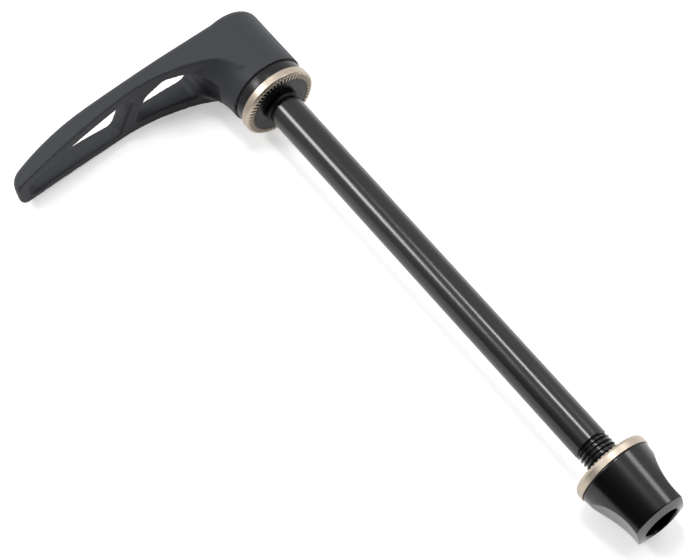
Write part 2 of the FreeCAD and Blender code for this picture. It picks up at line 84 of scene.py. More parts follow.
# Points closer than this are one point: in pieces made here, and in the CAD's triangles
MERGE_DISTANCE = 1e-7
CAD_MERGE_DISTANCE = 1e-6

# Most of an edge that the round at one of its ends may take
ROUND_SHARE = 0.4

# Edges that bend further than this stay sharp
SHARP_ANGLE = math.radians(32)
TOOTH_SHARP_ANGLE = math.radians(12)

# Facets round the turned pieces, round the rubber's section and in one turn of the thread
SHAFT_FACETS = 96
COLLAR_FACETS = 160
NUT_FACETS = 288
SECTION_FACETS = 24
HELIX_FACETS = 72

# Room left round the shaft, the thread and the thrust washer
BORE_ROOM = 0.04 * MM
THREAD_ROOM = 0.05 * MM
WASHER_ROOM = 0.1 * MM

# The lever is evened out aslant, so that no long edge lies along the grain and comes out in steps
LEVER_ASLANT = Euler((0.5, 0.6, 0.7))

# Range that most of a noise lies in, and the depth of a finish's relief as a share of its grain
NOISE_LOW, NOISE_HIGH = 0.3, 0.7
RELIEF_SHARE = 0.1

# Bend of the lever's surface at which the painted sheen on its edges starts, and at which it is full
SHEEN_START, SHEEN_FULL = 0.03, 0.25

# Strip lights: name, place, target, size across and along, watts
STRIPS = (
    ("strip_at_side", (-0.42, -0.52, 0.73), (0.06, -0.01, 0), (0.3, 0.22), 3.7),
    ("strip_above", (-0.15, 0.04, 0.95), (-0.15, 0.04, 0), (0.24, 0.14), 2.4),
    ("strip_behind", (0.22, 0.58, 0.69), (0.22, 0, 0), (0.6, 0.2), 2.6),
)
FLOOR_SIZE = 3.0
FLOOR_GLOW = 0.46

# The surround is bright on the side that this points to, and fades over a range of its share
SURROUND_BRIGHT_SIDE = (-1, 0.35, 0)
SURROUND_FADE = (-0.1, 0.12)
SURROUND_STRENGTH = (0.03, 1.0)

# The camera that was fitted to the photograph
CAMERA_LENS = 108.16
CAMERA_SENSOR = 36
CAMERA_CLIP = (0.01, 20)
CAMERA_EYE = (0.27021, -0.1849, 0.48684)
CAMERA_RIGHT = (0.61219, 0.7908, 0)
CAMERA_UP = (-0.69093, 0.5348, 0.4863)


# Settings

def length(name, description, millimetres):
    """A length setting, given in millimetres and kept in metres."""
    return FloatProperty(name=name, description=description, default=millimetres * MM,
                         min=0, precision=5, unit="LENGTH", subtype="DISTANCE")


def colour(name, description, value):
    """A colour setting, as linear red, green and blue."""
    return FloatVectorProperty(name=name, description=description, default=value,
                               size=3, min=0, max=1, subtype="COLOR")


class SkewerSizes(bpy.types.PropertyGroup):
    """Sizes of the pieces that the looks add to or refine from the solids."""

    lever_grain: length("Lever grain", "Mesh size the lever's surface is evened out to", 0.315)
    lever_softening: IntProperty(
        name="Lever softening", description="Rounds of smoothing that soften the lever's edges",
        default=9, min=0, max=60)
    window_start: length("Window start", "Reach of the outer window's lower wall at the rib", 37.9)
    window_end: length("Window end", "Reach of the outer window's lower wall at the tip", 69.5)
    window_low_start: length("Window depth at the rib", "Lower wall below the axle's plane there", 8.5)
    window_low_end: length("Window depth at the tip", "Lower wall below the axle's plane there", 7.6)
    window_draft: length("Window draft", "How far the lower wall falls towards the back", 1.45)
    window_draft_reach: length("Draft reach", "How far from the wall the metal follows it", 2.4)
    window_depth: length("Window run", "Thickness of the arm over which the wall falls", 6)
    lever_seam: length("Lever seam", "Gap between the lever's lip and the collar", 0.1)
    hollow_softening: IntProperty(
        name="Hollow softening", description="Rounds of smoothing where the arm leaves the head",
        default=40, min=0, max=100)
    shaft_diameter: length("Shaft diameter", "Across the smooth shaft", 10.0)
    shaft_length: length("Shaft length", "From the clamp face to the end of the smooth shaft", 131.4)
    thread_lead_in: length("Thread lead-in", "From the smooth shaft's end to the thread's start", 0.16)
    thread_diameter: length("Thread diameter", "Across the thread's crests", 9.8)
    thread_pitch: length("Thread pitch", "From one crest of the thread to the next", 1.25)
    thread_depth: length("Thread depth", "From the thread's crest to its root", 0.72)
    tooth_count: IntProperty(name="Teeth", description="Teeth round each clamp ring",
                             default=54, min=3, max=200)
    tooth_depth: length("Tooth depth", "Depth of the gaps between a ring's teeth, at its bore", 0.7)
    tooth_length: length("Tooth length", "How far the gaps run out from the bore at full depth", 0.55)
    tooth_run_out: length("Tooth run-out", "Depth of the gaps where they meet the bevel", 0.22)
    tooth_gap: length("Tooth gap", "Width of a gap at the bore", 0.6)
    crown_diameter: length("Crown diameter", "Across the flat, toothed part of a ring's face", 21.2)
    ring_bevel: length("Ring bevel", "Height of the plain bevel outside the teeth", 0.75)
    ring_bore: length("Ring bore", "Hole of the clamp rings", 18.6)
    nut_end_diameter: length("Nut end diameter", "Across the nut's small end", 18.6)
    nut_dome_height: length("Nut dome height", "Rise of the nut's end over its rim", 0.9)
    nut_mouth_diameter: length("Nut mouth diameter", "Hole in the nut's end", 10.3)
    nut_mouth_break: length("Nut mouth break", "Bevel round the hole in the nut's end", 0.4)
    nut_mouth_depth: length("Nut mouth depth", "From the nut's end to its thread", 7.0)
    scallop_radius: length("Scallop radius", "Radius of the finger scallops", 22.0)
    scallop_floor: length("Scallop floor", "From the axis to the deepest line of a scallop", 7.2)
    scallop_from_end: length("Scallop from end", "From the nut's end to that line", 3.3)
    nut_turn: FloatProperty(name="Nut turn", description="How the nut's scallops lie about the axle",
                            default=math.radians(13), subtype="ANGLE")
    o_ring_section: length("O-ring section", "Across the rubber ring's own section", 1.8)
    edge_round: length("Edge round", "Radius that breaks the edges of turned pieces", 0.15)


class SkewerFinishes(bpy.types.PropertyGroup):
    """Colours of the finishes."""

    lever_black: colour("Lever", "Matt anodised lever", (0.036, 0.038, 0.043))
    # Painted sheen: a lighter colour laid along the lever's edges for the light they catch
    lever_edge_sheen: colour("Lever edges", "Edges of the lever, polished by handling", (0.062, 0.064, 0.07))
    shaft_black: colour("Shaft", "Gloss anodised shaft", (0.005, 0.005, 0.006))
    collar_black: colour("Collar", "Gloss anodised collar", (0.006, 0.006, 0.007))
    nut_black: colour("Nut", "Satin anodised nut", (0.002, 0.002, 0.0022))
    champagne: colour("Clamp rings", "Champagne plated clamp rings", (0.46, 0.396, 0.325))
    # Painted shade in the gaps between a clamp ring's teeth, which lie in shadow
    tooth_gap: colour("Tooth gaps", "Darkened metal between a clamp ring's teeth", (0.02, 0.016, 0.013))
    steel: colour("Inner parts", "Plain steel parts inside the head", (0.55, 0.55, 0.56))
    rubber: colour("O-ring", "Rubber ring at the shaft's root", (0.006, 0.006, 0.006))
    floor: colour("Floor", "Studio floor", (0.8, 0.8, 0.8))


# Meshes

def clamped(value, low=0.0):
    """A value held between low and 1."""
    return min(1.0, max(low, value))


def dress(mesh, material):
    """Give a mesh one material and smooth shading."""
    mesh.materials.clear()
    mesh.materials.append(material)
    mesh.polygons.foreach_set("use_smooth", [True] * len(mesh.polygons))


def piece_from(name, mesh, material, sharp=SHARP_ANGLE):
    """An object of one mesh and one material, at the origin, shaded smooth but for sharp edges."""
    mesh.name = name
    dress(mesh, material)
    mesh.set_sharp_from_angle(angle=sharp)
    piece = bpy.data.objects.new(name, mesh)
    bpy.context.scene.collection.objects.link(piece)
    return piece


def plain_mesh(name, form):
    """A mesh from a bmesh as it stands; the bmesh is freed."""
    mesh = bpy.data.meshes.new(name)
    form.to_mesh(mesh)
    form.free()
    return mesh


def mesh_from(form):
    """A mesh from a bmesh, with doubles merged and faces outwards."""
    bmesh.ops.remove_doubles(form, verts=form.verts, dist=MERGE_DISTANCE)
    bmesh.ops.recalc_face_normals(form, faces=form.faces)
    return plain_mesh("form", form)


def copy_of(node):
    """A bmesh copy of a CAD node's triangles, merged and without their stored normals."""
    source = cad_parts[node].data
    form = bmesh.new()
    corners = [form.verts.new(vertex.co) for vertex in source.vertices]
    for triangle in source.polygons:
        form.faces.new([corners[number] for number in triangle.vertices])
    bmesh.ops.remove_doubles(form, verts=form.verts, dist=CAD_MERGE_DISTANCE)
    return form


def applied(piece):
    """Turn an object's live modifiers into its plain mesh."""
    graph = bpy.context.evaluated_depsgraph_get()
    mesh = bpy.data.meshes.new_from_object(piece.evaluated_get(graph))
    piece.modifiers.clear()
    spent, piece.data = piece.data, mesh
    bpy.data.meshes.remove(spent)
    return piece


def turned(form, profile, steps, closed=True):
    """Add to a bmesh the surface that a profile of (x, radius) points makes round the X axis."""
    rows = []
    for x, radius in profile:
        angles = [FULL_TURN * step / steps for step in range(steps)]
        rows.append([form.verts.new((x, radius * math.cos(a), radius * math.sin(a))) for a in angles])
    pairs = list(zip(rows, rows[1:] + rows[:1])) if closed else list(zip(rows, rows[1:]))
    for row, after in pairs:
        for step in range(steps):
            onward = (step + 1) % steps
            form.faces.new((row[step], row[onward], after[onward], after[step]))


def rounded(corners, radius, steps=4):
    """A closed profile of (x, y) corners with each corner rounded as far as its edges allow."""
    points = []
    for number, corner in enumerate(corners):
        here = Vector(corner)
        back = Vector(corners[number - 1]) - here
        onward = Vector(corners[(number + 1) % len(corners)]) - here
        half = back.angle(onward) / 2
        size = min(radius, ROUND_SHARE * min(back.length, onward.length) * math.tan(half))
        middle = here + (back.normalized() + onward.normalized()).normalized() * size / math.sin(half)
        first = here + back.normalized() * size / math.tan(half) - middle
        last = here + onward.normalized() * size / math.tan(half) - middle
        sweep = first.angle_signed(last)
        points += [tuple(middle + Matrix.Rotation(-sweep * step / steps, 2) @ first)
                   for step in range(steps + 1)]
    return points


def divided(points, spacing):
    """The same open profile with points added so that none are further apart than spacing."""
    fine = []
    for here, onward in zip(points, points[1:]):
        count = max(1, math.ceil(math.dist(here, onward) / spacing))
        fine += [tuple(Vector(here).lerp(Vector(onward), step / count)) for step in range(count)]
    return fine + [points[-1]]


# Node trees

def add_node(tree, kind, inputs=None, **settings):
    """Add a node; inputs are values or sockets to link, by the name or number of its sockets."""
    made = tree.nodes.new(kind)
    for name, value in settings.items():
        setattr(made, name, value)
    for key, value in (inputs or {}).items():
        if isinstance(value, bpy.types.NodeSocket):
            tree.links.new(value, made.inputs[key])
        else:
            made.inputs[key].default_value = value
    return made


def math_node(tree, operation, *values):
    """The result of one Math node on values or sockets."""
    return add_node(tree, "ShaderNodeMath", dict(enumerate(values)), operation=operation).outputs[0]


def new_geometry_tree(name, sizes):
    """A geometry tree that takes a shape, named sizes and a material, and gives a shape."""
    tree = bpy.data.node_groups.new(name, "GeometryNodeTree")
    tree.interface.new_socket("Shape", in_out="INPUT", socket_type="NodeSocketGeometry")
    for size, kind in sizes.items():
        tree.interface.new_socket(size, in_out="INPUT", socket_type="NodeSocket" + kind)
    tree.interface.new_socket("Material", in_out="INPUT", socket_type="NodeSocketMaterial")
    tree.interface.new_socket("Shape", in_out="OUTPUT", socket_type="NodeSocketGeometry")
    return tree, tree.nodes.new("NodeGroupInput").outputs


def end_tree(tree, shape, material):
    """Close a geometry tree: instances made real, the material set."""
    real = add_node(tree, "GeometryNodeRealizeInstances", {0: shape}).outputs[0]
    merged = add_node(tree, "GeometryNodeMergeByDistance",
                      {"Geometry": real, "Distance": MERGE_DISTANCE})
    painted = add_node(tree, "GeometryNodeSetMaterial",
                       {"Geometry": merged.outputs[0], "Material": material})
    tree.links.new(painted.outputs[0], tree.nodes.new("NodeGroupOutput").inputs[0])


def grown(name, tree, shape, material, sharp=SHARP_ANGLE, **sizes):
    """A finished piece that a geometry tree makes from a shape."""
    seed = bpy.data.objects.new(name + "_seed", shape)
    bpy.context.scene.collection.objects.link(seed)
    modifier = seed.modifiers.new(tree.name, "NODES")
    modifier.node_group = tree
    values = {label.replace("_", " "): value for label, value in sizes.items()}
    values["Material"] = material
    for socket in tree.interface.items_tree:
        if socket.in_out == "INPUT" and socket.name in values:
            modifier[socket.identifier] = values[socket.name]
    applied(seed)
    mesh = seed.data
    bpy.data.objects.remove(seed)
    return piece_from(name, mesh, material, sharp)


def repeat_tree():
    """Repeats one sector of a ring evenly round the X axis."""
    tree, given = new_geometry_tree("teeth_round_the_ring", {"Count": "Int"})
    points = add_node(tree, "GeometryNodePoints", {"Count": given["Count"]})
    step = math_node(tree, "DIVIDE", FULL_TURN, given["Count"])
    index = add_node(tree, "GeometryNodeInputIndex").outputs[0]
    turn = add_node(tree, "ShaderNodeCombineXYZ", {"X": math_node(tree, "MULTIPLY", index, step)})
    teeth = add_node(tree, "GeometryNodeInstanceOnPoints", {
        "Points": points.outputs[0], "Instance": given["Shape"], "Rotation": turn.outputs[0]})
    end_tree(tree, teeth.outputs[0], given["Material"])
    return tree


def helix_tree():
    """Runs a thread's section along a right-hand helix about the X axis."""
    tree, given = new_geometry_tree("thread_along_the_helix", {
        "Radius": "Float", "Turns": "Float", "Length": "Float", "Start": "Float"})
    helix = add_node(tree, "GeometryNodeCurveSpiral", {
        "Resolution": HELIX_FACETS, "Rotations": given["Turns"], "Start Radius": given["Radius"],
        "End Radius": given["Radius"], "Height": given["Length"]})
    upright = add_node(tree, "GeometryNodeSetCurveNormal", {"Curve": helix.outputs[0]}, mode="Z_UP")
    section = add_node(tree, "GeometryNodeMeshToCurve", {"Mesh": given["Shape"]})
    ridge = add_node(tree, "GeometryNodeCurveToMesh", {
        "Curve": upright.outputs[0], "Profile Curve": section.outputs[0], "Fill Caps": True})
    start = add_node(tree, "ShaderNodeCombineXYZ", {"X": given["Start"]})
    laid = add_node(tree, "GeometryNodeTransform", {
        "Geometry": ridge.outputs[0], "Translation": start.outputs[0],
        "Rotation": (0, math.radians(90), 0)})
    end_tree(tree, laid.outputs[0], given["Material"])
    return tree


def scallop_tree():
    """Presses two round hollows, one each side, into a shape that lies along the X axis."""
    tree, given = new_geometry_tree("scallops_in_the_nut", {
        "Radius": "Float", "Floor": "Float", "Centre": "Float", "Turn": "Float", "Softness": "Float"})
    place = add_node(tree, "GeometryNodeInputPosition").outputs[0]
    flat = add_node(tree, "ShaderNodeVectorRotate", {
        "Vector": place, "Angle": math_node(tree, "MULTIPLY", given["Turn"], -1.0)},
        rotation_type="X_AXIS")
    axes = add_node(tree, "ShaderNodeSeparateXYZ", {0: flat.outputs[0]}).outputs
    along = math_node(tree, "SUBTRACT", axes["X"], given["Centre"])
    square = math_node(tree, "SUBTRACT", math_node(tree, "MULTIPLY", given["Radius"], given["Radius"]),
                       math_node(tree, "MULTIPLY", along, along))
    sunk = math_node(tree, "SQRT", math_node(tree, "MAXIMUM", square, 0.0))
    wall = math_node(tree, "SUBTRACT", math_node(tree, "ADD", given["Floor"], given["Radius"]), sunk)
    held = math_node(tree, "SMOOTH_MIN", math_node(tree, "ABSOLUTE", axes["Y"]), wall, given["Softness"])
    side = math_node(tree, "MULTIPLY", held, math_node(tree, "SIGN", axes["Y"]))
    pressed = add_node(tree, "ShaderNodeCombineXYZ", {"X": axes["X"], "Y": side, "Z": axes["Z"]})
    back = add_node(tree, "ShaderNodeVectorRotate", {
        "Vector": pressed.outputs[0], "Angle": given["Turn"]}, rotation_type="X_AXIS")
    shape = add_node(tree, "GeometryNodeSetPosition", {
        "Geometry": given["Shape"], "Position": back.outputs[0]})
    end_tree(tree, shape.outputs[0], given["Material"])
    return tree


# Materials

def new_finish(name, base, metallic=0.0, roughness=0.5):
    """A material with its shader; the shader is returned for detail to be linked to it."""
    material = bpy.data.materials.new(name)
    material.use_nodes = True
    shader = material.node_tree.nodes["Principled BSDF"]
    shader.inputs["Base Color"].default_value = (*base, 1)
    shader.inputs["Metallic"].default_value = metallic
    shader.inputs["Roughness"].default_value = roughness
    return material, material.node_tree, shader


def grain(tree, scale, detail=2.0):
    """Noise on Object coordinates, its scale given along each axis in cells a metre."""
    place = add_node(tree, "ShaderNodeTexCoord").outputs["Object"]
    spread = add_node(tree, "ShaderNodeMapping", {"Vector": place, "Scale": scale})
    noise = add_node(tree, "ShaderNodeTexNoise", {
        "Vector": spread.outputs[0], "Scale": 1.0, "Detail": detail, "Roughness": 0.6})
    return noise.outputs["Fac"]


def vary(tree, noise, low, high):
    """Noise brought to a range of values."""
    ranged = add_node(tree, "ShaderNodeMapRange", {
        "Value": noise, "From Min": NOISE_LOW, "From Max": NOISE_HIGH, "To Min": low, "To Max": high})
    return ranged.outputs[0]


def tint(tree, noise, base, low, high):
    """The base colour, darker and lighter with the noise."""
    ramp = add_node(tree, "ShaderNodeValToRGB", {"Fac": noise})
    places = (NOISE_LOW, NOISE_HIGH)
    for element, place, share in zip(ramp.color_ramp.elements, places, (low, high)):
        element.position = place
        element.color = (*(min(1, channel * share) for channel in base), 1)
    return ramp.outputs[0]


def relief(tree, shader, noise, strength, depth):
    """Let noise raise and lower the surface by a depth."""
    bump = add_node(tree, "ShaderNodeBump", {"Height": noise, "Strength": strength, "Distance": depth})
    tree.links.new(bump.outputs[0], shader.inputs["Normal"])


def texture(tree, shader, noise, base, tones, roughness, spread):
    """Let noise vary a finish's colour between two tones, and its roughness by a spread each way."""
    tree.links.new(tint(tree, noise, base, *tones), shader.inputs["Base Color"])
    gloss = vary(tree, noise, roughness - spread, roughness + spread)
    tree.links.new(gloss, shader.inputs["Roughness"])


def grained_finish(name, base, roughness, cell, strength, ior=1.5):
    """A blasted or anodised finish: fine even grain in colour, gloss and relief."""
    material, tree, shader = new_finish(name, base)
    shader.inputs["IOR"].default_value = ior
    fine = grain(tree, (1 / cell,) * 3)
    texture(tree, shader, fine, base, tones=(0.9, 1.12), roughness=roughness, spread=0.04)
    relief(tree, shader, fine, strength, RELIEF_SHARE * cell)
    return material


def turned_finish(name, base, roughness, line, strength, metallic=0.0, ior=1.5):
    """A finish with the fine lines that turning leaves round the axle's axis."""
    material, tree, shader = new_finish(name, base, metallic)
    shader.inputs["IOR"].default_value = ior
    around = 4.0
    lines = grain(tree, (1 / line, around, around), detail=3.0)
    texture(tree, shader, lines, base, tones=(0.85, 1.15), roughness=roughness, spread=0.05)
    relief(tree, shader, lines, strength, RELIEF_SHARE * line)
    return material


def mark_edges(mesh):
    """Store how far the surface bends outwards at each point as "edge", evened over its neighbours."""
    places = [vertex.co for vertex in mesh.vertices]
    normals = [vertex.normal for vertex in mesh.vertices]
    pairs = [tuple(edge.vertices) for edge in mesh.edges]
    bend, joined = [0.0] * len(places), [0] * len(places)
    for one, other in pairs:
        step = (places[other] - places[one]).normalized()
        bend[one] -= normals[one].dot(step)
        bend[other] += normals[other].dot(step)
        joined[one] += 1
        joined[other] += 1
    bend = [total / count for total, count in zip(bend, joined)]
    rounds_of_evening = 2
    for _ in range(rounds_of_evening):
        around = list(bend)
        for one, other in pairs:
            around[one] += bend[other]
            around[other] += bend[one]
        bend = [total / (count + 1) for total, count in zip(around, joined)]
    mesh.attributes.new("edge", "FLOAT", "POINT").data.foreach_set("value", bend)


def paint_edge_sheen(material, sheen_colour):
    """Paint a sheen on the edges: lighten the surface towards the sheen colour where the attribute
    "edge" is high.
    """
    tree = material.node_tree
    base = tree.nodes["Principled BSDF"].inputs["Base Color"]
    edge = add_node(tree, "ShaderNodeAttribute", attribute_name="edge").outputs["Fac"]
    share = add_node(tree, "ShaderNodeMapRange", {
        "Value": edge, "From Min": SHEEN_START, "From Max": SHEEN_FULL,
        "To Min": 0.0, "To Max": 1.0}).outputs[0]
    mixed = add_node(tree, "ShaderNodeMix", {
        "Factor": share, "A": base.links[0].from_socket, "B": (*sheen_colour, 1)}, data_type="RGBA")
    tree.links.new(mixed.outputs["Result"], base)


# Operators

class SkewerOperator:
    """What every builder of the skewer shares."""

    bl_options = {"REGISTER", "UNDO"}

    @property
    def sizes(self):
        """The scene's size settings."""
        return bpy.context.scene.skewer_sizes

    @property
    def finishes(self):
        """The scene's colour settings."""
        return bpy.context.scene.skewer_finishes


class SKEWER_OT_lever(SkewerOperator, bpy.types.Operator):
    """Build the lever from its solid, with every edge softened"""

    bl_idname = "skewer.lever"
    bl_label = "Lever"

    def lean(self, piece):
        """Slope the outer window's lower wall down towards the back, as a forging's draft does."""
        sizes = self.sizes
        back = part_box("lever")[0].x
        skin, fade = 1.5 * MM, 10
        for vertex in piece.data.vertices:
            place = vertex.co
            along = (-place.y - sizes.window_start) / (sizes.window_end - sizes.window_start)
            wall = -sizes.window_low_start + (sizes.window_low_start - sizes.window_low_end) * along
            ends = clamped(fade * along + 0.5) * clamped(fade + 0.5 - fade * along)
            near = max(0.0, 1 - abs(place.z - wall) / sizes.window_draft_reach)
            behind = clamped(1 - (place.x - back - skin) / sizes.window_depth)
            vertex.co.z -= sizes.window_draft * ends * behind * near * near * (3 - 2 * near)

    def weigh(self, piece):
        """Mark how far each point is softened: less at the head's lip, more in the hollow by the arm."""
        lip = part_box("lever")[1].x
        radius = (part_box("lever_side_ring")[1].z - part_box("lever_side_ring")[0].z) / 2
        lip_reach, lip_share = 3 * MM, 0.1
        hollow_middle = radius * 0.8
        edges, hollow = (piece.vertex_groups.new(name=name) for name in ("edges", "hollow"))
        for vertex in piece.data.vertices:
            place = vertex.co
            behind = (lip - place.x) / lip_reach
            edges.add([vertex.index], clamped(behind, lip_share), "REPLACE")
            beside = 1 - abs(place.y + hollow_middle) / radius
            inside = clamped(behind - 1) * clamped(2 * beside)
            if inside > 0:
                hollow.add([vertex.index], inside, "REPLACE")

    def execute(self, context):
        sizes = self.sizes
        material = grained_finish("matt_black", self.finishes.lever_black, roughness=0.52,
                                  cell=0.00012, strength=0.25, ior=1.3)
        # Painted sheen along the lever's edges, lighter where the surface bends outwards
        paint_edge_sheen(material, self.finishes.lever_edge_sheen)
        aslant = LEVER_ASLANT.to_matrix().to_4x4()
        form = copy_of("lever")
        form.transform(aslant)
        piece = piece_from("lever_forging", mesh_from(form), material)
        even = piece.modifiers.new("even_grain", "REMESH")
        even.mode = "VOXEL"
        even.voxel_size = sizes.lever_grain
        applied(piece)
        piece.data.transform(aslant.inverted())
        self.lean(piece)
        self.weigh(piece)
        rounds_of = {"edges": sizes.lever_softening, "hollow": sizes.hollow_softening}
        for group, rounds in rounds_of.items():
            soft = piece.modifiers.new("soft_" + group, "SMOOTH")
            soft.factor = 0.5
            soft.iterations = rounds
            soft.vertex_group = group
        applied(piece)
        dress(piece.data, material)
        mark_edges(piece.data)
        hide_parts("lever")
        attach(piece, "lever")
        return {"FINISHED"}


class SKEWER_OT_axle(SkewerOperator, bpy.types.Operator):
    """Build the shaft from its solid, and the thread on its end"""

    bl_idname = "skewer.axle"
    bl_label = "Shaft and thread"

    def execute(self, context):
        sizes = self.sizes
        material = turned_finish("gloss_black_shaft", self.finishes.shaft_black, roughness=0.2,
                                 line=0.0002, strength=0.012)
        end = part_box("axle")[1].x
        root = sizes.thread_diameter / 2 - sizes.thread_depth
        past_shoulder, end_break = 0.05 * MM, 0.4 * MM
        neck = sizes.shaft_length + past_shoulder
        shaft = copy_of("axle")
        bmesh.ops.bisect_plane(shaft, geom=[*shaft.verts, *shaft.edges, *shaft.faces],
                               plane_co=(neck, 0, 0), plane_no=(1, 0, 0), clear_outer=True)
        core = [(neck, 0), (neck, root), (end - end_break, root), (end, root - end_break), (end, 0)]
        turned(shaft, core, SHAFT_FACETS, closed=False)
        piece = piece_from("axle_shaft", mesh_from(shaft), material)
        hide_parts("axle")
        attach(piece, "axle")
        start = sizes.shaft_length + sizes.thread_lead_in
        section = bmesh.new()
        # Half widths of the ridge, and how far its foot is sunk into the core
        foot, crest, sunk = 0.46 * sizes.thread_pitch, 0.08 * sizes.thread_pitch, 0.1 * MM
        top = -sizes.thread_depth
        corners = [(sunk, -foot), (top, -crest), (top, crest), (sunk, foot)]
        loop = [section.verts.new((x, y, 0)) for x, y in corners]
        for number, corner in enumerate(loop):
            section.edges.new((loop[number - 1], corner))
        run = end - start - sizes.thread_pitch / 2 - end_break
        thread = grown("axle_thread", helix_tree(), plain_mesh("thread_section", section), material,
                       Radius=root, Turns=run / sizes.thread_pitch, Length=run, Start=start)
        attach(thread, "axle")
        return {"FINISHED"}


class SKEWER_OT_collar(SkewerOperator, bpy.types.Operator):
    """Build the clamp collar and the rubber ring at the shaft's root"""

    bl_idname = "skewer.collar"
    bl_label = "Collar and O-ring"

    def execute(self, context):
        sizes = self.sizes
        material = turned_finish("gloss_black_collar", self.finishes.collar_black, roughness=0.3,
                                 line=0.00025, strength=0.012, ior=1.36)
        low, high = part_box("clamp_collar")
        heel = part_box("lever")[1].x + sizes.lever_seam
        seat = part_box("thrust_washer")[1].z + WASHER_ROOM
        ring_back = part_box("lever_side_ring")[0].x
        bore = sizes.shaft_diameter / 2 + BORE_ROOM
        rim, spigot = (high.z - low.z) / 2, sizes.ring_bore / 2
        form = bmesh.new()
        turned(form, rounded([
            (low.x, bore), (low.x, seat), (heel, seat), (heel, rim),
            (ring_back, rim), (ring_back, spigot), (high.x, spigot), (high.x, bore),
        ], sizes.edge_round), COLLAR_FACETS)
        piece = piece_from("clamp_collar_turned", mesh_from(form), material)
        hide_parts("clamp_collar")
        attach(piece, "collar")
        rubber = grained_finish("rubber", self.finishes.rubber, roughness=0.4,
                                cell=0.0002, strength=0.2, ior=1.25)
        low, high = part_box("retaining_o_ring")
        section = sizes.o_ring_section / 2
        centre = ((low.x + high.x) / 2, (high.z - low.z) / 2 - section)
        angles = [FULL_TURN * step / SECTION_FACETS for step in range(SECTION_FACETS)]
        form = bmesh.new()
        turned(form, [(centre[0] + section * math.cos(a), centre[1] + section * math.sin(a))
                      for a in angles], SHAFT_FACETS)
        ring = piece_from("o_ring", mesh_from(form), rubber)
        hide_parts("retaining_o_ring")
        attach(ring, "axle")
        return {"FINISHED"}


class SKEWER_OT_rings(SkewerOperator, bpy.types.Operator):
    """Build both serrated clamp rings, tooth by tooth"""

    bl_idname = "skewer.rings"
    bl_label = "Clamp rings"

    def tooth_sector(self, face, back, rim):
        """One tooth gap of a ring and the metal behind it, about the -Y side of the axle.

        The attribute "gap" is the share of painted shade: 1 along the gap's floor and 0 on the plain
        metal.
        """
        sizes = self.sizes
        inward = math.copysign(1, back - face)
        bore, crown = sizes.ring_bore / 2, sizes.crown_diameter / 2
        soft = sizes.edge_round / 2
        slope = (rim - crown) / sizes.ring_bevel
        # Distance from the gap's middle, in half pitches, and the share of its depth there
        half = math.pi / sizes.tooth_count
        width = sizes.tooth_gap / 2 / bore / half
        section = [(-1, 0), (-1.05 * width, 0), (-0.75 * width, 0.9), (0, 1)]
        section += [(-place, share) for place, share in reversed(section[:-1])]
        # Place along the axle, radius, the gap's depth there and how much painted shade it gets
        full, run_out, faint_shade = sizes.tooth_depth, sizes.tooth_run_out, 0.1
        rows = [
            (back, bore, 0, 0), (face, bore, full, 1), (face, bore + sizes.tooth_length, full, 1),
            (face, crown - soft, run_out, faint_shade),
            (face + inward * soft, crown + soft * slope, run_out, faint_shade),
            (face + inward * 2 * run_out, crown + 2 * run_out * slope, 0, 0),
            (face + inward * (sizes.ring_bevel - soft), rim - soft * slope, 0, 0),
            (face + inward * (sizes.ring_bevel + soft), rim, 0, 0),
            (back - inward * soft, rim, 0, 0), (back, rim - soft, 0, 0),
        ]
        form = bmesh.new()
        gap = form.verts.layers.float.new("gap")
        lines = []
        for x, radius, depth, dark in rows:
            line = []
            for place, share in section:
                angle = place * half
                point = form.verts.new((x + inward * depth * share,
                                        -radius * math.cos(angle), radius * math.sin(angle)))
                point[gap] = share * dark
                line.append(point)
            lines.append(line)
        for line, after in zip(lines, lines[1:] + lines[:1]):
            for n in range(len(section) - 1):
                quad = (line[n], line[n + 1], after[n + 1], after[n])
                form.faces.new(quad if inward < 0 else quad[::-1])
        return plain_mesh("tooth_sector", form)

    def plate(self):
        """The champagne finish, with painted shade in the gaps between the teeth."""
        material = turned_finish("champagne_plate", self.finishes.champagne, roughness=0.4,
                                 line=0.0003, strength=0.06, metallic=1.0)
        tree = material.node_tree
        colour_in = tree.nodes["Principled BSDF"].inputs["Base Color"]
        gap = add_node(tree, "ShaderNodeAttribute", attribute_name="gap").outputs["Fac"]
        # Painted shade: mix towards the dark gap colour by the attribute "gap"
        shade = add_node(tree, "ShaderNodeMix", {
            "Factor": gap, "A": colour_in.links[0].from_socket, "B": (*self.finishes.tooth_gap, 1)},
            data_type="RGBA")
        tree.links.new(shade.outputs["Result"], colour_in)
        return material

    def execute(self, context):
        material = self.plate()
        tree = repeat_tree()
        for node, body in (("lever_side_ring", "collar"), ("nut_side_ring", "nut")):
            low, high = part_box(node)
            face, back = (high.x, low.x) if body == "collar" else (low.x, high.x)
            sector = self.tooth_sector(face, back, (high.z - low.z) / 2)
            ring = grown(node + "_cut", tree, sector, material, sharp=TOOTH_SHARP_ANGLE,
                         Count=self.sizes.tooth_count)
            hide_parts(node)
            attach(ring, body)
        return {"FINISHED"}


